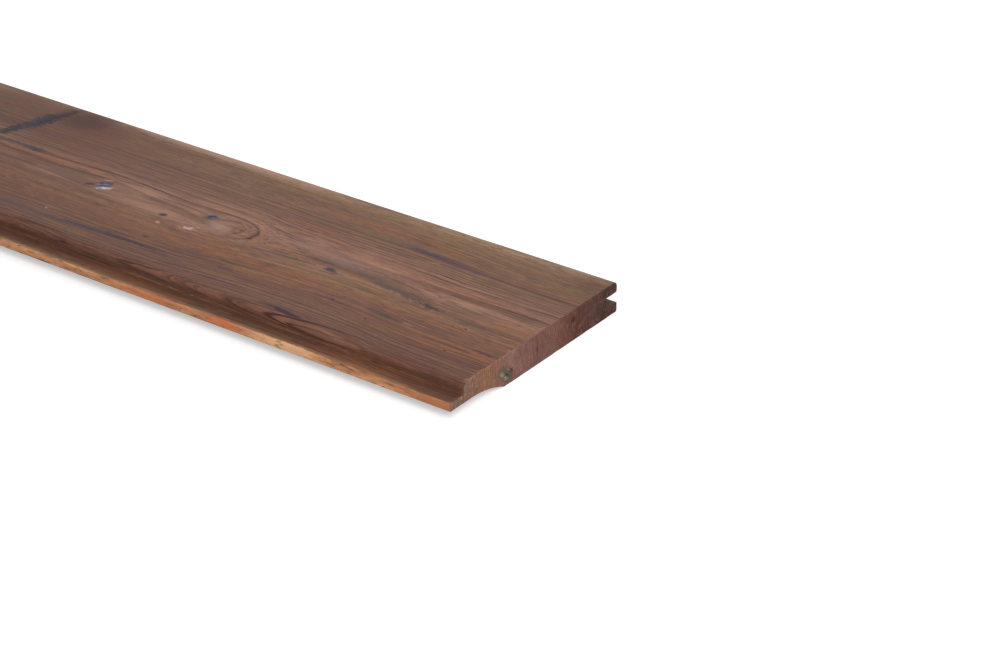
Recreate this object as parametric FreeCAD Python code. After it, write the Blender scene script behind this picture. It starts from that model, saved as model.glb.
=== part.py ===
"""Shiplap cladding board: one planed softwood board with a tongue along one
edge, a groove along the other and a shallow scoop on the profiled face.

The board lies on its profiled face. X runs along its length, Y across its
width from the tongue to the groove, and Z up through its thickness. The
origin is in the middle of the board's footprint, on the plane it lies on.
All sizes are in millimetres.
"""

import math
import os

import FreeCAD
import Part

# The blank
board_length = 1800.0
board_width = 145.0  # over all, from the tongue's tip to the groove's lips
board_thickness = 18.0

# The groove and its two lips
lower_lip_thickness = 5.8
groove_width = 5.8
groove_end_gap = 0.5  # how much deeper the groove is than the tongue is long

# The tongue, which fits such a groove
tongue_length = 11.5
tongue_floor_gap = 0.3  # free space between the tongue and the lower lip
tongue_ceiling_gap = 0.8  # free space between the tongue and the upper lip

# The scoop on the profiled face, beside the tongue
tongue_underside_length = 18.0  # flat, from the tongue's tip to the scoop
scoop_length = 27.0  # across the board, from that flat to the scoop's sharp rim

# The rounding of the long edges
shoulder_radius = 4.0  # the plain face's edge above the tongue
upper_lip_radius = 3.0
lower_lip_radius = 1.2
groove_mouth_radius = 0.8
groove_root_radius = 0.5
tongue_tip_radius = 0.6
tongue_root_radius = 0.5

# Heights and places that follow from the sizes above
tongue_tip_y = -board_width / 2
lip_y = board_width / 2
groove_depth = tongue_length + groove_end_gap
groove_root_y = lip_y - groove_depth
groove_floor_z = lower_lip_thickness
groove_ceiling_z = groove_floor_z + groove_width
tongue_bottom_z = groove_floor_z + tongue_floor_gap
tongue_top_z = groove_ceiling_z - tongue_ceiling_gap
shoulder_y = tongue_tip_y + tongue_length
scoop_start_y = tongue_tip_y + tongue_underside_length
scoop_rim_y = scoop_start_y + scoop_length


def point(y, z):
    """A point of the section, on the board's left end."""
    return FreeCAD.Vector(-board_length / 2, y, z)


def rounded_run(corners):
    """Edges through the corners (y, z, radius), each corner rounded by its radius.

    The first and last corners are the run's ends and stay sharp.
    """
    edges = []
    start = point(corners[0][0], corners[0][1])
    for before, corner, after in zip(corners, corners[1:], corners[2:]):
        tip = point(corner[0], corner[1])
        radius = corner[2]
        towards_before = (point(before[0], before[1]) - tip).normalize()
        towards_after = (point(after[0], after[1]) - tip).normalize()
        half_angle = towards_before.getAngle(towards_after) / 2
        cut_back = radius / math.tan(half_angle)
        middle_distance = radius / math.sin(half_angle) - radius
        bisector = (towards_before + towards_after).normalize()
        arc_start = tip + towards_before * cut_back
        arc_end = tip + towards_after * cut_back
        edges.append(Part.LineSegment(start, arc_start).toShape())
        edges.append(Part.Arc(arc_start, tip + bisector * middle_distance, arc_end).toShape())
        start = arc_end
    edges.append(Part.LineSegment(start, point(corners[-1][0], corners[-1][1])).toShape())
    return edges


def scoop():
    """The shallow round scoop: an arc that leaves the tongue's flat underside
    smoothly and meets the profiled face in a sharp rim."""
    radius = (scoop_length**2 + tongue_bottom_z**2) / (2 * tongue_bottom_z)
    half_turn = math.asin(scoop_length / radius) / 2
    middle_y = scoop_start_y + radius * math.sin(half_turn)
    middle_z = tongue_bottom_z - radius * (1 - math.cos(half_turn))
    start = point(scoop_start_y, tongue_bottom_z)
    rim = point(scoop_rim_y, 0)
    return Part.Arc(start, point(middle_y, middle_z), rim).toShape()


def section():
    """The board's cross-section, from the scoop's rim round to the scoop's start."""
    corners = [
        (scoop_rim_y, 0, 0),
        (lip_y, 0, lower_lip_radius),
        (lip_y, groove_floor_z, groove_mouth_radius),
        (groove_root_y, groove_floor_z, groove_root_radius),
        (groove_root_y, groove_ceiling_z, groove_root_radius),
        (lip_y, groove_ceiling_z, groove_mouth_radius),
        (lip_y, board_thickness, upper_lip_radius),
        (shoulder_y, board_thickness, shoulder_radius),
        (shoulder_y, tongue_top_z, tongue_root_radius),
        (tongue_tip_y, tongue_top_z, tongue_tip_radius),
        (tongue_tip_y, tongue_bottom_z, tongue_tip_radius),
        (scoop_start_y, tongue_bottom_z, 0),
    ]
    return Part.Face(Part.Wire(rounded_run(corners) + [scoop()]))


def cladding_board():
    """The whole board: its section, planed along the full length."""
    return section().extrude(FreeCAD.Vector(board_length, 0, 0))


os.makedirs("parts", exist_ok=True)
board = cladding_board()
board.exportStep("parts/cladding_board.step")
print("solids", len(board.Solids), "valid", board.isValid(), "volume", round(board.Volume))
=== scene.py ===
"""A planed, brown-impregnated shiplap cladding board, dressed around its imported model.

The board lies on its profiled face: X runs along it, Y across it from the tongue
to the groove, Z up to the plain face. The end that the camera sees is at +X.
"""

import math
from collections import namedtuple

import bpy
import numpy as np
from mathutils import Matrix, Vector, noise
from mathutils.geometry import delaunay_2d_cdt


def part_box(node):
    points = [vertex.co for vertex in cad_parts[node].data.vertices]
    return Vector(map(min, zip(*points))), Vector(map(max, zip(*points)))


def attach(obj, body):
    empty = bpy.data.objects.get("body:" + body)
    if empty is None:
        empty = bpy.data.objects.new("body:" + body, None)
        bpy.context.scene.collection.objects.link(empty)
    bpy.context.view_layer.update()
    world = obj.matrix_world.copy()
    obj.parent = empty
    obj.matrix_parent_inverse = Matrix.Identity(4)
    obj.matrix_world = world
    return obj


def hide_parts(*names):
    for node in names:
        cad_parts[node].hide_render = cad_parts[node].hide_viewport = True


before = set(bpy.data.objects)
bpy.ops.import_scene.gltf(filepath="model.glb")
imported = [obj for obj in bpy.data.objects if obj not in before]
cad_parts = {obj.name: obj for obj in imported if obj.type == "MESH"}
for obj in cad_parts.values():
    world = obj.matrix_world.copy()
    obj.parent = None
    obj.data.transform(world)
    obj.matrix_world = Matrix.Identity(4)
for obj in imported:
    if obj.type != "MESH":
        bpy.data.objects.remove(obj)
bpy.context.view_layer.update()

mm = 0.001

# The moulded board. One softwood board, planed on all sides and moulded in one pass with
# a tongue, a groove and a round scoop on the face it lies on. Its long edges are rounded
# by the cutters, and its two ends are left as the saw cut them.
board_low, board_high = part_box("cladding_board")
end_x = board_high.x
tip_y, lip_y = board_low.y, board_high.y
face_z = board_high.z

lower_lip_thickness = 5.8 * mm
groove_width = 5.8 * mm
groove_depth = 12.0 * mm
tongue_length = 11.5 * mm
tongue_bottom_z = lower_lip_thickness + 0.3 * mm
groove_ceiling_z = lower_lip_thickness + groove_width
tongue_top_z = groove_ceiling_z - 0.8 * mm
groove_root_y = lip_y - groove_depth
shoulder_y = tip_y + tongue_length
scoop_start_y = tip_y + 18.0 * mm
scoop_rim_y = scoop_start_y + 27.0 * mm

shoulder_radius = 4.0 * mm
upper_lip_radius = 3.0 * mm
lower_lip_radius = 1.2 * mm
groove_mouth_radius = 0.8 * mm
groove_root_radius = 0.5 * mm
tongue_tip_radius = 0.6 * mm
tongue_root_radius = 0.5 * mm

longest_side = 2.2 * mm  # of a mesh face, measured round the section
arc_side = 0.45 * mm


def arc(centre, start, end, steps):
    """Points on the short arc from start to end about centre, without its first point."""
    spoke = start - centre
    first = math.atan2(spoke.y, spoke.x)
    last = math.atan2(end.y - centre.y, end.x - centre.x)
    turn = (last - first + math.pi) % (2 * math.pi) - math.pi
    angles = [first + turn * (step + 1) / steps for step in range(steps)]
    return [centre + spoke.length * Vector((math.cos(a), math.sin(a))) for a in angles]


def straight(start, end):
    """Points on the straight run from start to end, without its first point."""
    steps = max(1, math.ceil((end - start).length / longest_side))
    return [start.lerp(end, (step + 1) / steps) for step in range(steps)]


def rounded_corner(before, corner, after, radius):
    """The arc that rounds a corner of the section: its start, its end and its points."""
    towards_before = (before - corner).normalized()
    towards_after = (after - corner).normalized()
    half_angle = towards_before.angle(towards_after) / 2
    start = corner + towards_before * radius / math.tan(half_angle)
    end = corner + towards_after * radius / math.tan(half_angle)
    bisector = (towards_before + towards_after).normalized()
    centre = corner + bisector * radius / math.sin(half_angle)
    steps = max(3, math.ceil((math.pi - 2 * half_angle) * radius / arc_side))
    return start, arc(centre, start, end, steps)


def section_outline():
    """The board's section as a closed run of points (across, height), tongue to the left."""
    corners = [
        (scoop_rim_y, 0, 0),
        (lip_y, 0, lower_lip_radius),
        (lip_y, lower_lip_thickness, groove_mouth_radius),
        (groove_root_y, lower_lip_thickness, groove_root_radius),
        (groove_root_y, groove_ceiling_z, groove_root_radius),
        (lip_y, groove_ceiling_z, groove_mouth_radius),
        (lip_y, face_z, upper_lip_radius),
        (shoulder_y, face_z, shoulder_radius),
        (shoulder_y, tongue_top_z, tongue_root_radius),
        (tip_y, tongue_top_z, tongue_tip_radius),
        (tip_y, tongue_bottom_z, tongue_tip_radius),
        (scoop_start_y, tongue_bottom_z, 0),
    ]
    places = [Vector((y, z)) for y, z, _ in corners]
    points = [places[0]]
    for i in range(1, len(corners) - 1):
        start, bend = rounded_corner(places[i - 1], places[i], places[i + 1], corners[i][2])
        points += straight(points[-1], start) + bend
    points += straight(points[-1], places[-1])
    scoop_length = scoop_rim_y - scoop_start_y
    scoop_radius = (scoop_length**2 + tongue_bottom_z**2) / (2 * tongue_bottom_z)
    scoop_centre = Vector((scoop_start_y, tongue_bottom_z - scoop_radius))
    scoop = arc(scoop_centre, places[-1], places[0], math.ceil(scoop_length / longest_side))
    return points + scoop[:-1]


# Knots that show on the plain face; back is measured from the near end
Knot = namedtuple("Knot", "back across length width")
pin_knots = [
    Knot(299 * mm, 2 * mm, 10 * mm, 7 * mm),
    Knot(246 * mm, -8.5 * mm, 4.5 * mm, 3.5 * mm),
    Knot(222 * mm, 4.5 * mm, 6 * mm, 4.5 * mm),
    Knot(188.5 * mm, -3 * mm, 3 * mm, 2.5 * mm),
    Knot(640 * mm, 14 * mm, 13 * mm, 10 * mm),
    Knot(905 * mm, -22 * mm, 9 * mm, 7 * mm),
    Knot(1210 * mm, 9 * mm, 15 * mm, 11 * mm),
    Knot(1478 * mm, -9 * mm, 8 * mm, 6 * mm),
]

knot_dish = 0.25 * mm  # the knife leaves hard knots a little hollow as the wood dries
dish_falloff = 2.5
planing_wave = 0.05 * mm
wave_length, wave_width = 30 * mm, 9 * mm
arris_wear = 0.1 * mm
saw_mark_depth = 0.12 * mm
end_chip_depth = 0.3 * mm


def planed_relief(x, y, z, on_edge):
    """How far a point of the planed surfaces lies below the true section."""
    here = Vector((x / wave_length, y / wave_width, z / wave_width))
    wave = planing_wave * (1 + noise.noise(here)) / 2
    dish = 0.0
    if z > face_z - 0.1 * mm:
        for knot in pin_knots:
            along = (x - (end_x - knot.back)) / knot.length
            over = (y - knot.across) / knot.width
            dish += knot_dish * math.exp(-dish_falloff * (along**2 + over**2))
    wear = 0.0
    if on_edge:
        rub = noise.noise(Vector((x / (18 * mm), y / (20 * mm), 3.7)))
        slow = noise.noise(Vector((x / (60 * mm), y / (20 * mm), 9.1)))
        wear = arris_wear * max(0.0, rub * 0.7 + slow * 0.6)
    return wave + dish + wear


def sawn_relief(y, z, side, from_rim):
    """How far a point of a sawn end lies inside the true end plane, from_rim inside its rim."""
    inner = min(1.0, from_rim / (1.5 * mm))
    stroke = noise.noise(Vector((y / (1.1 * mm), z / (13 * mm), 5.0 + side))) * inner
    patch = noise.noise(Vector((y / (14 * mm), z / (6 * mm), 15.0 + side)))
    tear = noise.noise(Vector((y / (7 * mm), z / (5 * mm), 25.0 + side)))
    chip = end_chip_depth * (0.25 + max(0.0, tear)) * math.exp(-from_rim / (0.6 * mm))
    return saw_mark_depth * (1 + 0.6 * stroke + 0.4 * patch) / 2 + chip


def stations():
    """Places along the board where the section is repeated: close at the ends, wide between."""
    near_end = [0.0, 0.6 * mm, 1.2 * mm, 2.0 * mm, 3.0 * mm, 4.5 * mm, 6.5 * mm]
    fine_length, fine_step, wide_step = 460 * mm, 3 * mm, 7 * mm
    back = near_end[:]
    while back[-1] < fine_length:
        back.append(back[-1] + fine_step)
    length = 2 * end_x
    while back[-1] < length - 16 * mm:
        back.append(back[-1] + wide_step)
    back += [length - step for step in reversed(near_end)]
    return [end_x - step for step in reversed(back)]


# A drying check runs from the pith side into the near end
check_y = 0.6 * mm
check_low_z, check_high_z = 3.5 * mm, 14.5 * mm
check_width = 0.35 * mm
check_depth = 2.0 * mm


def end_points(outline, side):
    """Points inside an end, with how deep each lies: saw strokes, and the check's slit."""
    column_step, row_step, first_gap = 0.6 * mm, 1.8 * mm, 0.9 * mm
    grid = []
    column = tip_y + first_gap
    while column < lip_y - 0.5 * mm:
        row = first_gap
        while row < face_z - 0.4 * mm:
            grid.append((column, row))
            row += row_step
        column += column_step
    loop = np.array(outline)
    following = np.roll(loop, -1, axis=0)
    kept = []
    for y, z in grid:
        if side > 0 and abs(y - check_y) < 1.2 * mm:
            continue
        offset = np.array((y, z)) - loop
        run = following - loop
        share = np.clip((offset * run).sum(1) / (run * run).sum(1), 0, 1)[:, None]
        gap = np.linalg.norm(offset - share * run, axis=1).min()
        crossings = ((loop[:, 1] > z) != (following[:, 1] > z)) & (
            y < loop[:, 0] + (z - loop[:, 1]) * run[:, 0] / np.where(run[:, 1] == 0, 1, run[:, 1])
        )
        if crossings.sum() % 2 == 1 and gap > 0.45 * mm:
            kept.append((Vector((y, z)), sawn_relief(y, z, side, gap)))
    if side > 0:
        steps = 14
        for step in range(steps + 1):
            share = step / steps
            z = check_low_z + (check_high_z - check_low_z) * share
            y = check_y + 0.35 * mm * noise.noise(Vector((z / (3 * mm), 1.5, 0.5)))
            open_by = math.sin(math.pi * share) * 0.85 + 0.15
            kept.append((Vector((y, z)), check_depth * open_by))
            for hand in (-1, 1):
                beside = y + hand * check_width * open_by
                kept.append((Vector((beside, z)), sawn_relief(beside, z, side, 3 * mm)))
                beside = y + hand * 0.8 * mm
                kept.append((Vector((beside, z)), sawn_relief(beside, z, side, 3 * mm)))
    return kept


def moulded_board():
    """The board's whole surface as one closed mesh: planed sides and two sawn ends."""
    outline = section_outline()
    count = len(outline)
    inward, on_edge = [], []
    for i, here in enumerate(outline):
        before, after = outline[i - 1], outline[(i + 1) % count]
        run = (after - before).normalized()
        inward.append(Vector((-run.y, run.x)))
        bend = (here - before).angle(after - here)
        turning = (here - before).cross(after - here)
        on_edge.append(bend > math.radians(4) and turning > 0)
    places = stations()
    vertices, faces = [], []
    for x in places:
        side = 1 if x > 0 else -1
        inside = end_x - abs(x)
        on_end = inside < 0.1 * mm
        for here, into, edge in zip(outline, inward, on_edge):
            point = here + into * planed_relief(x, here.x, here.y, edge)
            depth = sawn_relief(here.x, here.y, side, 0.0) if on_end else 0.0
            vertices.append((x - side * depth, point.x, point.y))
    for i in range(len(places) - 1):
        for j in range(count):
            k = (j + 1) % count
            faces.append((i * count + j, i * count + k, (i + 1) * count + k, (i + 1) * count + j))
    sides = len(faces)
    for side, first in ((-1, 0), (1, (len(places) - 1) * count)):
        inner = end_points(outline, side)
        flat = list(outline) + [place for place, _ in inner]
        rim = [(j, (j + 1) % count) for j in range(count)]
        made = delaunay_2d_cdt(flat, rim, [], 1, 1e-7)
        index = []
        for place, sources in zip(made[0], made[3]):
            if sources and sources[0] < count:
                index.append(first + sources[0])
            else:
                depth = inner[sources[0] - count][1] if sources else saw_mark_depth / 2
                index.append(len(vertices))
                vertices.append((side * (end_x - depth), place.x, place.y))
        for triangle in made[2]:
            corners = [index[c] for c in triangle]
            faces.append(corners if side > 0 else corners[::-1])
    mesh = bpy.data.meshes.new("planed_board")
    mesh.from_pydata(vertices, [], faces)
    mesh.validate()
    mesh.update()
    mesh.polygons.foreach_set("use_smooth", [True] * len(mesh.polygons))
    slots = [int(n >= sides) for n in range(len(mesh.polygons))]  # 0 planed, 1 sawn
    mesh.polygons.foreach_set("material_index", slots)
    mesh.set_sharp_from_angle(angle=math.radians(38))
    return mesh


board = bpy.data.objects.new("planed_board", moulded_board())
bpy.context.scene.collection.objects.link(board)


def stain(code):
    """A colour given as an sRGB hex value, turned to linear."""
    parts = [int(code[i : i + 2], 16) / 255 for i in (1, 3, 5)]
    return [p / 12.92 if p <= 0.04045 else ((p + 0.055) / 1.055) ** 2.4 for p in parts] + [1.0]


def add(tree, kind, wires=None, **settings):
    """A node of the tree with its settings; wires gives each input a socket or a value."""
    made = tree.nodes.new("ShaderNode" + kind)
    for name, value in settings.items():
        setattr(made, name, value)
    for socket, value in (wires or {}).items():
        if isinstance(value, bpy.types.NodeSocket):
            tree.links.new(value, made.inputs[socket])
        else:
            made.inputs[socket].default_value = value
    return made


def times(wood, value, factor, more=0.0):
    """A value times a factor, and more added; each may be a number or a socket."""
    return add(wood, "Math", {0: value, 1: factor, 2: more}, operation="MULTIPLY_ADD").outputs[0]


def spread(wood, value, low, high, at_low=0.0, at_high=1.0):
    """A value between low and high, stretched to run from at_low to at_high."""
    return add(wood, "MapRange", {"Value": value, 1: low, 2: high, 3: at_low, 4: at_high}).outputs[0]


def unevenness(wood, place, cell, detail=3.0, roughness=0.5):
    """Soft noise with cells of the size (along, across, through) in millimetres."""
    fitted = add(wood, "Mapping", {0: place, 3: [1 / side for side in cell]}).outputs[0]
    return add(
        wood, "TexNoise", {"Vector": fitted, "Scale": 1.0, "Detail": detail, "Roughness": roughness}
    )


def blend(wood, under, over, factor, how="MIX"):
    """One colour over another; 0, 6 and 7 are the Mix node's sockets for colours."""
    mixed = add(wood, "Mix", {0: factor, 6: under, 7: over}, data_type="RGBA", blend_type=how)
    return mixed.outputs[2]


def shade(wood, colour, tone):
    """A colour made darker or lighter by a tone around 1."""
    grey = add(wood, "CombineColor", {0: tone, 1: tone, 2: tone}).outputs[0]
    return blend(wood, colour, grey, 1.0, "MULTIPLY")


def off_middle(wood, place, middle, size, turns=(0, 0, 0)):
    """How far off an oval's middle a place lies: 0 there, 1 on its rim, 3 anywhere far off."""
    widest = 3.0
    turned = [math.radians(turn) for turn in turns]
    reach = [widest * side / 2 for side in size]
    oval = {0: place, 1: middle, 2: turned, 3: reach}
    oval = add(wood, "Mapping", oval, vector_type="TEXTURE").outputs[0]
    near = add(wood, "TexGradient", {"Vector": oval}, gradient_type="SPHERICAL").outputs["Fac"]
    return times(wood, near, -widest, widest)


def drift(wood, along, low, high, places):
    """A value that drifts along the board: places gives (back from the near end, value)."""
    share = spread(wood, along, -end_x / mm, end_x / mm)
    line = add(wood, "FloatCurve", {"Value": share})
    curve = line.mapping.curves[0]
    ordered = sorted(
        (1 - back * mm / (2 * end_x), (value - low) / (high - low)) for back, value in places)
    for (x, y), point in zip((ordered[0], ordered[-1]), curve.points):
        point.location = (x, y)
    for x, y in ordered[1:-1]:
        curve.points.new(x, y)
    line.mapping.update()
    return spread(wood, line.outputs[0], 0, 1, low, high)


def pull_near(wood, place, middle, reach):
    """How near a place is to a middle, from 0 far off to 1, and how far across it lies."""
    near = add(wood, "Mapping", {0: place, 1: middle, 3: reach}, vector_type="TEXTURE").outputs[0]
    squared = add(wood, "VectorMath", {0: near, 1: near}, operation="DOT_PRODUCT").outputs["Value"]
    pull = add(wood, "Math", {0: times(wood, squared, -1.0)}, operation="EXPONENT").outputs[0]
    return pull, add(wood, "SeparateXYZ", {0: near}).outputs[1]


# Knots that stayed under the surface and only bulge or dent the rings above them, in
# millimetres as all patterns in the wood; rise is how far they push the rings out
Bulge = namedtuple("Bulge", "back across height reach rise")
buried_knots = [
    Bulge(0, -60.5, 14.0, (105, 6, 3), 3.0),
    Bulge(202, 1.5, 18.0, (14, 16, 9), -1.6),
    Bulge(355, -61, 14.5, (80, 6, 2.6), 4.0),
    Bulge(700, -58, 15, (90, 8, 4), 4.5),
    Bulge(1150, 52, 17, (110, 9, 6), 5.0),
]


def growth_rings(wood, place):
    """Growth rings of the log that the board was cut from, as its surfaces cut them.

    The pith runs about 40 mm under the plain face, so the face shows long arches in the
    middle and close straight lines at the edges, and the ends show the rings as arcs.
    Returns the latewood's darkness from 0 to 1, and the place measured along the rings.
    """
    along, across, height = add(wood, "SeparateXYZ", {0: place}).outputs
    pith_across = drift(wood, along, -20, 20, [
        (0, -0.2), (50, 0.3), (80, 2.5), (110, 3.5), (140, 3.0), (180, 1.7), (220, 0.5), (400, 0.5),
        (700, -4), (1000, 3), (1400, -6), (1800, 2)])
    pith_below = drift(wood, along, 20, 50, [
        (0, 41.9), (50, 42.2), (80, 42.9), (115, 43.1), (140, 43.0), (160, 42.5), (178, 41.8),
        (188, 41.1), (200, 40.0), (220, 39.1), (400, 38.4), (560, 35.5), (760, 32), (980, 35),
        (1250, 31), (1500, 36), (1800, 38)])
    wander = unevenness(wood, place, (60, 16, 16)).outputs[0]
    off_pith = add(wood, "Math", {0: across, 1: pith_across}, operation="SUBTRACT").outputs[0]
    off_pith = add(wood, "Math", {0: off_pith, 1: spread(wood, wander, 0, 1, -1.3, 1.3)}).outputs[0]
    for knot in pin_knots:
        # The rings part round a knot and close again behind it
        middle = (end_x / mm - knot.back / mm, knot.across / mm, face_z / mm)
        reach = (knot.length / mm * 2.6, knot.width / mm * 1.6, 9.0)
        pull, sideways = pull_near(wood, place, middle, reach)
        pushed = times(wood, sideways, pull)
        off_pith = times(wood, pushed, -0.55 * reach[1], off_pith)
    off_below = add(wood, "Math", {0: height, 1: pith_below}).outputs[0]
    off_below = times(wood, off_below, 1.0, -face_z / mm)
    spoke = add(wood, "CombineXYZ", {0: 0.0, 1: off_pith, 2: off_below}).outputs[0]
    radius = add(wood, "VectorMath", {0: spoke}, operation="LENGTH").outputs["Value"]
    for bulge in buried_knots:
        middle = (end_x / mm - bulge.back, bulge.across, bulge.height)
        pull, _ = pull_near(wood, place, middle, bulge.reach)
        radius = times(wood, pull, bulge.rise, radius)

    # Good and poor summers make wide and narrow rings, and the outer rings are closer;
    # one dark line lies 43.5 mm out
    line_out, line_share, mean_ring = 43.5, 0.88, 2.15
    out = times(wood, radius, 1.0, -line_out)
    years = out
    for pace, swing in ((0.55, -1.1), (0.21, 0.5), (2.3, 0.1)):
        wave = add(wood, "Math", {0: times(wood, out, pace)}, operation="SINE").outputs[0]
        years = times(wood, wave, swing, years)
    years = add(wood, "Math", {0: years, 1: spread(wood, out, 4, 34, 0, 11)}).outputs[0]
    ring = times(wood, years, 1 / mean_ring, 20 + line_share)
    number = add(wood, "Math", {0: ring}, operation="FLOOR").outputs[0]
    share = add(wood, "Math", {0: ring}, operation="FRACT").outputs[0]
    latewood = add(wood, "ValToRGB", {0: share})
    latewood.color_ramp.elements[0].color = (0, 0, 0, 1)
    latewood.color_ramp.elements[1].color = (0, 0, 0, 1)
    for position, dark in ((0.40, 0.05), (0.62, 0.22), (0.78, 0.7), (0.88, 1.0), (0.95, 0.85)):
        latewood.color_ramp.elements.new(position).color = (dark, dark, dark, 1)
    season = add(wood, "TexWhiteNoise", {"W": number}, noise_dimensions="1D").outputs["Value"]
    season = spread(wood, season, 0, 1, 0.65, 1.0)
    dark = times(wood, latewood.outputs[0], season)
    return dark, add(wood, "CombineXYZ", {0: along, 1: radius, 2: off_pith}).outputs[0]


def grain_place(wood):
    """The place in the wood in millimetres, the same pulled about along the fibres, and grit."""
    metres = add(wood, "TexCoord").outputs["Object"]
    place = add(wood, "VectorMath", {0: metres, 3: 1 / mm}, operation="SCALE").outputs[0]
    pull = unevenness(wood, place, (16, 1.6, 1.6)).outputs[1]
    pull = add(wood, "VectorMath", {0: pull, 1: (0.5, 0.5, 0.5)}, operation="SUBTRACT").outputs[0]
    pull = add(wood, "VectorMath", {0: pull, 1: (12.0, 2.0, 2.0)}, operation="MULTIPLY").outputs[0]
    ragged = add(wood, "VectorMath", {0: place, 1: pull}, operation="ADD").outputs[0]
    grit = unevenness(wood, place, (3.0, 0.7, 0.7), 4.0, 0.7).outputs[0]
    return place, ragged, spread(wood, grit, 0.25, 0.75, -1, 1)


def mark(wood, colour, place, grit, back, across, length, width, turn, tint, strength, rough,
         soft, height=face_z / mm):
    """A streak, knot or patch: an oval with its own tint and a gritty, soft edge.

    back and across give its middle on the plain face and length and width its whole size,
    in millimetres; turn is in degrees, rough is how far grit eats into it and soft the
    share of it over which it fades.
    """
    middle = (end_x / mm - back, across, height)
    out = off_middle(wood, place, middle, (length, width, 14.0), (0, 0, turn))
    out = times(wood, grit, rough, out)
    return blend(wood, colour, stain(tint), spread(wood, out, 1.0 - soft, 1.0, strength, 0.0))


def end_mark(wood, colour, place, grit, across, height, width, tall, tint, strength, rough,
             soft, lean):
    """A mark on the near end alone, with its middle and whole size in millimetres."""
    out = off_middle(wood, place, (end_x / mm, across, height), (12.0, width, tall), (lean, 0, 0))
    out = times(wood, grit, rough, out)
    return blend(wood, colour, stain(tint), spread(wood, out, 1.0 - soft, 1.0, strength, 0.0))


def across_ramp(wood, across, stops):
    """A ramp across the board; stops gives (across in millimetres, tint or grey level)."""
    low, high = tip_y / mm, lip_y / mm
    ramp = add(wood, "ValToRGB", {0: spread(wood, across, low, high)})
    for n, (y, tint) in enumerate(stops):
        at = (y - low) / (high - low)
        element = ramp.color_ramp.elements[n] if n < 2 else ramp.color_ramp.elements.new(at)
        element.position = at
        element.color = stain(tint) if isinstance(tint, str) else (tint, tint, tint, 1)
    return ramp.outputs[0]


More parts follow.
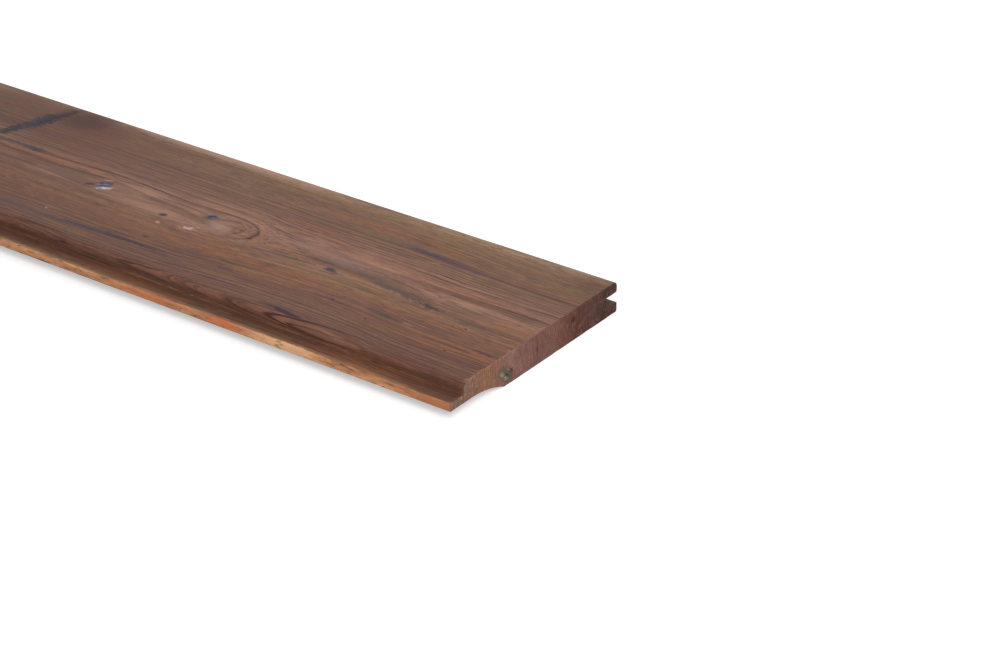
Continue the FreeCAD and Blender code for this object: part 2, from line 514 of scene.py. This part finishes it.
def planed_stained_pine():
    """Pine, planed by moulder knives and impregnated brown. The stain soaks deep into the
    soft earlywood and leaves the hard lines darker and duller, so the grain shows as fine
    dark lines on a warm brown that drifts to russet, plum and olive, with a low sheen."""
    material = bpy.data.materials.new("planed_stained_pine")
    material.use_nodes = True
    wood = material.node_tree
    wood.nodes.clear()
    place, ragged, grit = grain_place(wood)
    along, across, height = add(wood, "SeparateXYZ", {0: place}).outputs

    # From -69 to -61.4 the tongue's top is painted darker towards the shoulder: painted shadow of
    # the shoulder. About -61 the shoulder's side is darker partly from the stain and partly from
    # painted shade.
    colour = across_ramp(wood, across, [
        (-72.4, "#c48960"), (-71.9, "#b78861"), (-71.3, "#907153"), (-70.0, "#826850"),
        (-69.0, "#5f422f"), (-64.0, "#523426"), (-61.4, "#60402f"), (-60.8, "#704a3d"),
        (-58.0, "#744f42"), (-50.0, "#765547"), (-38.0, "#785544"), (-22.0, "#845a44"),
        (-8.0, "#8c6753"), (4.0, "#9b735f"), (16.0, "#966f5d"), (26.0, "#8a6553"),
        (36.0, "#7c5c4b"), (50.0, "#7e5f4c"), (60.0, "#866850"), (66.0, "#a08066"),
        (70.0, "#a08065"), (71.0, "#6b5443"), (72.5, "#7d6350"),
    ])
    latewood, with_rings = growth_rings(wood, place)

    # The stain took unevenly, so the brown drifts along the fibres
    drifts = unevenness(wood, ragged, (110, 13, 13), 3.0).outputs[1]
    drifts = add(wood, "SeparateColor", {0: drifts}).outputs
    colour = blend(wood, colour, stain("#92593a"), spread(wood, drifts[0], 0.48, 0.7, 0, 0.5))
    colour = blend(wood, colour, stain("#604140"), spread(wood, drifts[1], 0.5, 0.7, 0, 0.55))
    off_the_tongue = spread(wood, across, -62.0, -50.0)
    olive = times(wood, spread(wood, drifts[2], 0.5, 0.7, 0, 0.45), off_the_tongue)
    colour = blend(wood, colour, stain("#7b6642"), olive)

    steeped = drift(wood, along, 0.5, 1.1, [
        (0, 0.9), (40, 0.96), (80, 1.0), (150, 1.02), (200, 0.99), (260, 0.94), (320, 0.85),
        (380, 0.72), (440, 0.7), (600, 0.85), (800, 0.95), (1050, 0.8), (1300, 0.92),
        (1550, 0.82), (1800, 0.95)])
    colour = shade(wood, colour, steeped)

    # How clearly the rings show across the board; where they don't, the stain is blotchy
    clear = across_ramp(wood, across, [
        (-72.4, 0.1), (-71, 0.6), (-61, 0.9), (-45, 1.0), (-34, 0.7), (-18, 0.38), (-6, 0.8),
        (14, 1.0), (36, 0.85), (44, 0.55), (60, 0.6), (70, 0.35),
    ])
    blotchy = spread(wood, clear, 0.3, 0.8, 1.0, 0.35)
    blotches = unevenness(wood, ragged, (9, 2.0, 2.0), 4.0, 0.6).outputs[1]
    blotches = add(wood, "SeparateColor", {0: blotches}).outputs
    for channel, low, tint, most in (
        (0, 0.5, "#a0683f", 0.6), (1, 0.49, "#4d3936", 0.72), (2, 0.52, "#6f6347", 0.5),
    ):
        much = spread(wood, blotches[channel], low, low + 0.2, 0, most)
        colour = blend(wood, colour, stain(tint), times(wood, much, blotchy))

    # Fibres: long threads that follow the rings, finer hairs between them, and short flecks
    threads = unevenness(wood, with_rings, (20, 0.62, 1.3), 4.0, 0.66).outputs[0]
    hairs = unevenness(wood, with_rings, (30, 0.36, 1.6), 2.0, 0.5).outputs[0]
    flecks = unevenness(wood, place, (4, 0.5, 0.5), 3.0, 0.6).outputs[0]
    thread_tone = spread(wood, threads, 0.3, 0.7, 0.76, 1.24)
    fleck_tone = spread(wood, flecks, 0.25, 0.75, 0.82, 1.18)
    colour = shade(wood, colour, times(wood, thread_tone, fleck_tone))
    bands = unevenness(wood, with_rings, (80, 1.4, 9), 2.0).outputs[0]
    colour = shade(wood, colour, spread(wood, bands, 0.3, 0.7, 0.88, 1.12))
    hair = times(wood, spread(wood, hairs, 0.52, 0.64, 0, 0.55), clear)
    colour = blend(wood, colour, stain("#3f2a26"), hair)

    # The dark latewood lines, which fade in and out along the board
    fading = unevenness(wood, with_rings, (70, 1.6, 8)).outputs[0]
    line = times(wood, latewood, clear)
    line = times(wood, line, spread(wood, fading, 0.32, 0.56, 0.45, 1.0))
    line = times(wood, line, spread(wood, grit, -1, 1, 0.65, 1.2))
    colour = blend(wood, colour, stain("#301d19"), line)

    # Resin canals: short dark dashes, scattered
    dashes = add(wood, "Mapping", {0: ragged, 3: (1 / 7, 1 / 1.7, 1 / 1.7)}).outputs[0]
    dashes = add(wood, "TexVoronoi", {"Vector": dashes, "Scale": 1.0})
    few = add(wood, "SeparateColor", {0: dashes.outputs["Color"]}).outputs[0]
    few = times(wood, spread(wood, few, 0.5, 0.6), blotchy)
    dash = spread(wood, dashes.outputs["Distance"], 0.12, 0.24, 0.85, 0.0)
    colour = blend(wood, colour, stain("#3a2c2c"), times(wood, dash, few))

    def streak(back, across, length, width, turn, tint, strength=0.85, rough=0.4, soft=0.55,
               height=face_z / mm):
        """A mark pulled about along the fibres."""
        nonlocal colour
        colour = mark(wood, colour, ragged, grit, back, across, length, width, turn, tint,
                      strength, rough, soft, height)

    def spot(back, across, length, width, turn, tint, strength=0.9, rough=0.15, soft=0.4):
        """A mark that keeps its shape."""
        nonlocal colour
        colour = mark(wood, colour, place, grit, back, across, length, width, turn, tint,
                      strength, rough, soft)

    # A branch crosses the face slantwise, with a dark edge and a russet cast beside it
    streak(362, 56, 76, 40, 0, "#54352f", 0.75, 0.2, 0.8)
    streak(350, 40, 150, 70, 0, "#6b453d", 0.5, 0.2, 0.9)
    streak(415, 52, 70, 40, 0, "#5f4034", 0.5, 0.2, 0.9)
    streak(390, 46, 48, 14, 78, "#302b35", 0.95, 0.4, 0.6)
    streak(387, 47, 34, 8, 78, "#211d25", 0.85, 0.5, 0.8)
    streak(397, 25, 36, 9, 76, "#2f2b34", 0.95, 0.4)
    streak(384, 60, 22, 7, 76, "#221c20", 0.95, 0.3)
    streak(383, 48, 18, 3.6, 72, "#2b2428", 0.8, 0.5)
    streak(396, 22, 22, 2.6, 72, "#2a2326", 0.9, 0.5)
    streak(370, 60, 44, 36, 0, "#452a2a", 0.7, 0.3, 0.7)
    streak(418, 64, 80, 22, 0, "#6a463e", 0.6, 0.3, 0.9)
    streak(262, 69.2, 185, 10, 0, "#b28c7a", 0.6, 0.3, 0.6)
    streak(25, 69.5, 60, 6, 0, "#a78b70", 0.5, 0.3, 0.9)
    # Streaks where bark and resin took the stain blue or green
    streak(375, 13.2, 34, 4.2, -3, "#433f48", 0.95, 0.9)
    streak(365, 12.4, 18, 6.0, -3, "#38353e", 0.95, 1.1)
    streak(262, -44.5, 105, 5, 3, "#43353f", 0.85)
    streak(235, -43.5, 60, 3, 3, "#2f2733", 0.7, 0.4)
    streak(330, -47, 60, 4, 2, "#4c3c44", 0.7)
    streak(322, -46, 60, 10, 2, "#5a444a", 0.4, 0.4, 0.9)
    streak(300, -62, 60, 6, 0, "#4a2f25", 0.5, 0.4, 0.9, height=15)
    streak(40, -3, 46, 11, 0, "#5a4c3c", 0.5, 0.5, 0.9)
    streak(268, 9, 46, 9, 0, "#ab8472", 0.45, 0.4, 0.9)
    streak(292, -57.5, 44, 3, 1, "#43281f", 0.85)
    streak(119, -56.4, 32, 4.6, -5, "#332733", 0.97, 0.35)
    streak(84, 38.5, 90, 8, -3, "#543c43", 0.75)
    streak(95, 39.3, 40, 4, -2, "#463742", 0.7)
    streak(122, 2.5, 56, 7, 0, "#6f5e56", 0.75, 0.3, 0.8)
    streak(140, 8, 120, 14, 0, "#ab8472", 0.45, 0.4, 0.9)
    streak(258, -6, 110, 15, -2, "#a8806c", 0.5, 0.3, 0.9)
    streak(92, -3.8, 28, 5.4, -9, "#514949", 0.9, 1.5, 0.8)
    streak(76, -6.8, 22, 4.8, -10, "#4b4545", 0.85, 1.5, 0.8)
    streak(61, -9.0, 18, 4.8, -8, "#2f2f36", 0.95, 1.4, 0.7)
    streak(34, -11.5, 34, 3.5, -2, "#514539", 0.7, 0.9)
    streak(128, -6.5, 13, 4.4, -8, "#333844", 0.97, 0.9)
    streak(152, -7.5, 30, 2.6, 8, "#4a3f3a", 0.8, 0.6)
    streak(176, -31.5, 20, 3, 2, "#454137", 0.9, 0.6)
    streak(176, -37.5, 22, 4, 2, "#4a3232", 0.7, 0.7)
    streak(73, -30.5, 20, 3, -3, "#47402f", 0.85, 0.6)
    streak(58, -30.3, 9, 1.6, -3, "#8d7d68", 0.55, 1.0)
    streak(198, -35, 52, 11, 2, "#4e3a3a", 0.6, 0.8, 0.9)
    streak(322, -2, 46, 10, -5, "#6f5248", 0.85, 0.15, 0.35)
    streak(7, -37, 18, 4.6, 0, "#96573a", 0.7, 0.9)
    streak(10, -32.5, 16, 3, 0, "#45302a", 0.75, 0.6)
    streak(5, 60, 36, 30, 0, "#5a3f35", 0.65, 0.3, 0.9)
    streak(234, -33.8, 7, 2, 4, "#3a3034", 0.9, 0.5)
    streak(250, -40.5, 26, 3, 3, "#48393a", 0.7, 0.9)
    spot(89.5, 32.5, 11, 0.9, 29, "#b0968b", 0.6, 0.4, 0.9)
    # Pin knots: blue-black hearts with red-brown bark and pale specks beside them; the paler blue in
    # the hearts and the pale gleams below and above the first knot are painted highlights
    spot(306, -3, 8, 3.4, 25, "#43201d", 0.9)
    spot(299.5, 1, 16, 9.5, 25, "#54403e", 0.7, 0.2, 0.6)
    spot(299.3, 1.3, 11.5, 7, 27, "#2e384e", 0.97, 0.25)
    # Painted highlights in the first knot's heart, then painted gleams below and above it
    spot(298.4, 1.8, 7, 3.2, 27, "#75849a", 0.8, 0.6, 0.9)
    spot(302, -0.6, 4, 2.2, 27, "#8796a8", 0.7, 0.6, 0.9)
    spot(295.5, -2.4, 10, 4.4, 30, "#d6cfd2", 0.85, 0.8, 0.9)
    spot(300.5, 6.4, 9, 1.6, 22, "#b09a94", 0.75, 0.3, 0.8)
    spot(246, -8.5, 7.5, 5, 10, "#553f3f", 0.75, 0.2, 0.6)
    spot(246, -8.3, 5.4, 3.2, 14, "#2c3348", 0.95, 0.3)
    spot(241.8, -17.2, 4, 3, 0, "#b29a93", 0.85, 0.3, 0.8)
    spot(222, 4.7, 11, 7.5, 20, "#553f3f", 0.7, 0.2, 0.6)
    spot(222, 5, 7.5, 5.2, 20, "#2b344a", 0.97, 0.3)
    # Painted highlight in the third knot's heart
    spot(220.5, 5, 4, 2.2, 20, "#6b788e", 0.7, 0.5, 0.9)
    streak(212, -2, 26, 13, -20, "#ac8e81", 0.55, 0.3, 0.9)
    spot(222.5, -12.8, 11, 5, 20, "#c9b4ae", 0.7, 1.1, 0.9)
    spot(188.5, -3, 4, 2.6, 0, "#33201b", 0.97)
    spot(304, -39.5, 3, 1.6, 0, "#b0948d", 0.8, 0.4, 0.8)
    spot(32, -17, 2.4, 1.4, 0, "#2e2424", 0.95)
    spot(107, -31, 3, 1.4, 0, "#2e2424", 0.95)
    spot(80, -38, 2.5, 1.4, 0, "#2e2424", 0.95)
    spot(27, -41, 2.2, 1.4, 0, "#2e2424", 0.95)

    # On the shoulder the rings run out in two long points, one inside the other
    nudge = add(wood, "VectorMath", {0: ragged, 1: place}, operation="SUBTRACT").outputs[0]
    nudge = add(wood, "VectorMath", {0: nudge, 3: 0.3}, operation="SCALE").outputs[0]
    nearly_straight = add(wood, "VectorMath", {0: place, 1: nudge}, operation="ADD").outputs[0]

    def eye(tip, across, height, length, tall, strength):
        """Ring lines that close in a point, with paler wood inside; they fade to the near end."""
        nonlocal colour
        middle = (end_x / mm - tip + length / 2, across, height)
        out = off_middle(wood, nearly_straight, middle, (length, 16.0, tall))
        fading, faded = (end_x / mm - tip + length * share for share in (0.35, 0.7))
        fade = times(wood, spread(wood, along, faded, fading), strength)
        pale = times(wood, spread(wood, out, 0.9, 0.6), fade)
        colour = blend(wood, colour, stain("#85604c"), times(wood, pale, 0.35))
        off_line = times(wood, out, 1.0, -0.92)
        off_line = add(wood, "Math", {0: off_line}, operation="ABSOLUTE").outputs[0]
        ring_line = times(wood, spread(wood, off_line, 0.085, 0.02), fade)
        colour = blend(wood, colour, stain("#3c221c"), ring_line)

    eye(131, -61, 15.6, 116, 6.6, 1.0)
    eye(115, -61, 14.7, 84, 3.6, 0.9)
    # The tongue's tip is redder and paler in places, and its top is dull near the end
    streak(200, -72.5, 60, 3, 0, "#bf6c45", 0.5, height=8.0)
    streak(146, -72.5, 34, 4, 0, "#c06a45", 0.75, height=8.4)
    streak(104, -72.5, 56, 4, 0, "#dca87c", 0.75, height=9.0)
    streak(109.5, -72.5, 3, 4, 0, "#7c6a42", 0.7, height=9.0)
    streak(0, -72.5, 70, 5, 0, "#a4663f", 0.8, height=8.0)
    streak(0, -70.4, 110, 4.4, 0, "#553c30", 0.9, 0.3, 0.7, height=10.8)
    # Further along, out of the picture, the board goes on in the same manner
    for knot in pin_knots[4:]:
        long, wide = knot.length / mm, knot.width / mm
        back, middle = knot.back / mm, knot.across / mm
        spot(back, middle, long * 1.5, wide * 1.4, 0, "#5a3f39", 0.8, 0.3, 0.6)
        spot(back, middle, long, wide, 0, "#3b3437", 0.95, 0.25)
        streak(back - long, middle - 1, long * 3, wide * 0.6, 0, "#594a48", 0.6)
    streak(560, 38, 120, 6, 1, "#58424a", 0.7)
    streak(820, -36, 150, 5, -1, "#4f424c", 0.75)
    streak(1090, 30, 90, 7, 2, "#5a4440", 0.6)
    streak(1360, -20, 130, 6, 0, "#54464c", 0.7)
    streak(1640, 24, 110, 8, -2, "#5c4540", 0.6)

    # The moulder's knives left a close ripple, plainest on the tongue; its light and shade are
    # painted into the colour as well as raised by the bump
    ripple_pitch = 1.2
    crest = times(wood, flecks, 1.2, times(wood, along, 2 * math.pi / ripple_pitch))
    ripple = add(wood, "Math", {0: crest}, operation="SINE").outputs[0]
    on_tongue = spread(wood, across, shoulder_y / mm - 1.0, shoulder_y / mm - 2.5)
    upward = spread(wood, height, tongue_top_z / mm - 1.4, tongue_top_z / mm - 0.8)
    rippled = times(wood, times(wood, on_tongue, upward), 0.93, 0.07)
    swing = times(wood, ripple, rippled)
    colour = shade(wood, colour, times(wood, swing, 0.17, 1.0))

    # Painted shade inside the groove, from its root out to its mouth
    root, ceiling = groove_root_y / mm, groove_ceiling_z / mm
    groove_floor = lower_lip_thickness / mm
    past_root = spread(wood, across, root - 1.5, root - 0.5)
    under_ceiling = spread(wood, height, ceiling + 0.6, ceiling - 0.2)
    over_floor = spread(wood, height, groove_floor - 0.8, groove_floor - 0.1)
    groove_shade = times(wood, times(wood, past_root, under_ceiling), over_floor)
    colour = blend(wood, colour, stain("#472c22"), times(wood, groove_shade, 0.85))

    # Along the sawn end the face is paler in flecks, mostly on the tongue's side, and darker in
    # ragged notches right at the arris
    rim_noise = unevenness(wood, place, (2.5, 3.2, 1.2), 4.0, 0.65).outputs[0]
    at_end = spread(wood, along, end_x / mm - 2.2, end_x / mm - 0.2)
    paler_at_rim = times(wood, spread(wood, rim_noise, 0.5, 0.62, 0, 0.7), at_end)
    paler_at_rim = times(wood, paler_at_rim, spread(wood, across, -40, 40, 0.8, 0.2))
    colour = blend(wood, colour, stain("#a67c66"), paler_at_rim)
    rim_dark_noise = unevenness(wood, place, (1.6, 2.4, 2.4), 4.0, 0.7).outputs[0]
    darker_at_rim = times(wood, rim_dark_noise, 4.0, times(wood, along, 1.0, -end_x / mm - 2.3))
    colour = blend(wood, colour, stain("#5c4036"), spread(wood, darker_at_rim, -0.55, 0.1, 0, 0.85))

    satin = spread(wood, threads, 0.2, 0.8, 0.46, 0.62)
    relief = times(wood, threads, 0.6, times(wood, line, 0.5, times(wood, swing, 0.5)))
    bump = add(wood, "Bump", {"Strength": 0.5, "Distance": 0.06 * mm, "Height": relief}).outputs[0]
    shader = add(wood, "BsdfPrincipled", {
        "Base Color": colour, "Roughness": satin, "Specular IOR Level": 0.15, "Normal": bump})
    add(wood, "OutputMaterial", {"Surface": shader.outputs[0]})
    return material


def sawn_end_grain():
    """Pine sawn across the grain: open fibre ends drink the stain, so it is matt and dull,
    with upright strokes of the saw, torn pale fibres and faint arcs of the growth rings."""
    material = bpy.data.materials.new("sawn_end_grain")
    material.use_nodes = True
    wood = material.node_tree
    wood.nodes.clear()
    place, _, grit = grain_place(wood)
    _, across, height = add(wood, "SeparateXYZ", {0: place}).outputs
    colour = across_ramp(wood, across, [
        (-72.5, "#81604e"), (-62.0, "#785c4d"), (-54.0, "#876353"), (-44.0, "#8f644c"),
        (-34.0, "#895f4f"), (-22.0, "#8c675f"), (-10.0, "#845d55"), (2.0, "#77534c"),
        (14.0, "#7a554b"), (26.0, "#6b463e"), (36.0, "#5a372f"), (48.0, "#583b36"),
        (60.0, "#432e2b"), (72.0, "#4b3530"),
    ])
    latewood, _ = growth_rings(wood, place)
    drifts = add(wood, "SeparateColor", {0: unevenness(wood, place, (9, 6, 5)).outputs[1]}).outputs
    colour = blend(wood, colour, stain("#96634a"), spread(wood, drifts[0], 0.5, 0.75, 0, 0.35))
    colour = blend(wood, colour, stain("#573b38"), spread(wood, drifts[1], 0.5, 0.75, 0, 0.4))
    strokes = unevenness(wood, place, (3, 0.8, 10), 4.0, 0.6).outputs[0]
    pores = unevenness(wood, place, (0.7, 0.45, 0.45), 2.0, 0.6).outputs[0]
    stroke_tone = spread(wood, strokes, 0.3, 0.7, 0.76, 1.22)
    pore_tone = spread(wood, pores, 0.3, 0.7, 0.86, 1.14)
    colour = shade(wood, colour, times(wood, stroke_tone, pore_tone))
    colour = blend(wood, colour, stain("#4a302c"), times(wood, latewood, 0.22))
    torn = unevenness(wood, place, (3, 0.6, 4), 2.0).outputs[0]
    tongue_side = spread(wood, across, -15.0, -50.0, 0.16, 0.6)
    torn = times(wood, spread(wood, torn, 0.56, 0.68), tongue_side)
    colour = blend(wood, colour, stain("#b09c84"), torn)
    dark_fibres = unevenness(wood, place, (3, 0.7, 5.0), 2.0).outputs[0]
    dark_fibres = spread(wood, dark_fibres, 0.44, 0.34, 0, 0.4)
    colour = blend(wood, colour, stain("#4d342e"), dark_fibres)

    def spot(across, height, width, tall, tint, strength=0.9, rough=0.3, soft=0.4, lean=0):
        nonlocal colour
        colour = end_mark(wood, colour, place, grit, across, height, width, tall, tint,
                          strength, rough, soft, lean)

    # A knot sawn through, grey-green with a dark rim; a red knot; a drying check
    spot(-26.0, 6.4, 18.0, 9.4, "#4a392f", 0.8, 0.5, 0.5, -35)
    spot(-26.4, 6.3, 15.5, 7.6, "#62594b", 0.9, 0.7, 0.4, -35)
    spot(-22.4, 7.4, 6.0, 3.0, "#2f2925", 0.85, 0.9, 0.8, -35)
    spot(-26.0, 6.0, 7.0, 3.0, "#3a3832", 0.8, 1.2, 0.6, -35)
    spot(-29.5, 7.6, 5.0, 2.4, "#a39b87", 0.85, 1.6, 0.8, -35)
    spot(-26.5, 4.4, 5.0, 2.2, "#9c937e", 0.8, 1.6, 0.8, -35)
    spot(-24.0, 8.2, 3.4, 1.4, "#8d8571", 0.8, 1.6, 0.8, -35)
    spot(-60.0, 13.5, 8.0, 6.0, "#75695a", 0.6, 0.6, 0.8)
    spot(32.5, 12.0, 5.0, 5.0, "#43221d", 0.85, 0.5, 0.6)
    spot(check_y / mm, (check_low_z + check_high_z) / 2 / mm, 0.7, 9.5, "#2e1c18", 0.8, 0.1, 0.6)

    # Paler flecks along the upper rim, mostly on the tongue's side
    upper_rim = spread(wood, height, face_z / mm - 1.2, face_z / mm - 0.2)
    rim_noise = unevenness(wood, place, (1.5, 3.0, 1.2), 4.0, 0.65).outputs[0]
    paler_at_rim = times(wood, upper_rim, spread(wood, rim_noise, 0.45, 0.6, 0.15, 0.7))
    paler_at_rim = times(wood, paler_at_rim, spread(wood, across, -40, 40, 0.8, 0.2))
    colour = blend(wood, colour, stain("#a67c66"), paler_at_rim)

    relief = times(wood, pores, 0.5, strokes)
    bump = add(wood, "Bump", {"Strength": 0.7, "Distance": 0.2 * mm, "Height": relief}).outputs[0]
    shader = add(wood, "BsdfPrincipled", {
        "Base Color": colour, "Roughness": 0.85, "Specular IOR Level": 0.1, "Normal": bump})
    add(wood, "OutputMaterial", {"Surface": shader.outputs[0]})
    return material


board.data.materials.append(planed_stained_pine())
board.data.materials.append(sawn_end_grain())
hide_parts("cladding_board")
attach(board, "root")

# The pale floor. A plain matt sweep that the board lies on: the camera sees it white, and
# it keeps the board's soft shadow.
floor_half = 30.0
floor_z = -0.05 * mm
floor_glow = 0.45
around = ((-1, -1), (1, -1), (1, 1), (-1, 1))
floor_mesh = bpy.data.meshes.new("floor")
floor_mesh.from_pydata(
    [(x * floor_half, y * floor_half, floor_z) for x, y in around], [], [(0, 1, 2, 3)])
floor = bpy.data.objects.new("floor", floor_mesh)
bpy.context.scene.collection.objects.link(floor)


def seen_directly(tree):
    """1 for rays from the camera, from a mirror or through glass, and 0 for all others."""
    rays = add(tree, "LightPath").outputs
    seen = rays["Is Camera Ray"]
    for kind in ("Is Glossy Ray", "Is Transmission Ray"):
        seen = add(tree, "Math", {0: seen, 1: rays[kind]}, operation="MAXIMUM").outputs[0]
    return seen


def pale_floor():
    """Matt white paint; to the camera and to mirrors it also glows a little, so it reads white."""
    material = bpy.data.materials.new("pale_floor")
    material.use_nodes = True
    paint = material.node_tree
    paint.nodes.clear()
    matt = add(paint, "BsdfDiffuse", {"Color": stain("#dcdcdc")}).outputs[0]
    glow = times(paint, seen_directly(paint), floor_glow)
    lit = add(paint, "Emission", {"Color": (1, 1, 1, 1), "Strength": glow}).outputs[0]
    both = add(paint, "AddShader", {0: matt, 1: lit}).outputs[0]
    add(paint, "OutputMaterial", {"Surface": both})
    return material


floor.data.materials.append(pale_floor())

# The studio light. An even white tent with one large soft box, high on the side of the
# board's near end and its tongue, so that end, edge and face are lit about alike.
tent_light, tent_white = 0.5, 1.0  # how strongly it lights the board, and how white it looks
world = bpy.data.worlds.new("tent")
bpy.context.scene.world = world
world.use_nodes = True
tent = world.node_tree
tent.nodes.clear()
level = spread(tent, seen_directly(tent), 0, 1, tent_light, tent_white)
glow = add(tent, "Background", {"Color": (1, 1, 1, 1), "Strength": level}).outputs[0]
add(tent, "OutputWorld", {"Surface": glow})

lamp = bpy.data.lights.new("soft_box", "AREA")
lamp.shape = "RECTANGLE"
lamp.size, lamp.size_y = 1.6, 1.2
lamp.energy = 50.0
soft_box = bpy.data.objects.new("soft_box", lamp)
soft_box.location = (2.2, -1.3, 1.8)
aim = Vector((0.7, 0.0, 0.0)) - soft_box.location
soft_box.rotation_euler = aim.to_track_quat("-Z", "Y").to_euler()
bpy.context.scene.collection.objects.link(soft_box)

# The camera. It stands in front of the board's near end, on the tongue's side, and looks
# down at the end's plain face, so that the board runs out of the picture to the left.
image_width = 1000
focal_length = 2657.9  # in pixels of the picture
bearing = math.radians(53.83)  # from the board's length towards the tongue's side
rise = math.radians(28.28)
distance = 1.337
looks_at = Vector((end_x - 15.2 * mm, -10.6 * mm, face_z))
lens = bpy.data.cameras.new("camera")
lens.sensor_width = 36.0
lens.lens = lens.sensor_width * focal_length / image_width
camera = bpy.data.objects.new("camera", lens)
level_distance = math.cos(rise)
towards_camera = Vector((
    level_distance * math.cos(bearing), -level_distance * math.sin(bearing), math.sin(rise)))
camera.location = looks_at + towards_camera * distance
camera.rotation_euler = (-towards_camera).to_track_quat("-Z", "Y").to_euler()
bpy.context.scene.collection.objects.link(camera)
bpy.context.scene.camera = camera
bpy.context.scene.view_settings.view_transform = "Standard"
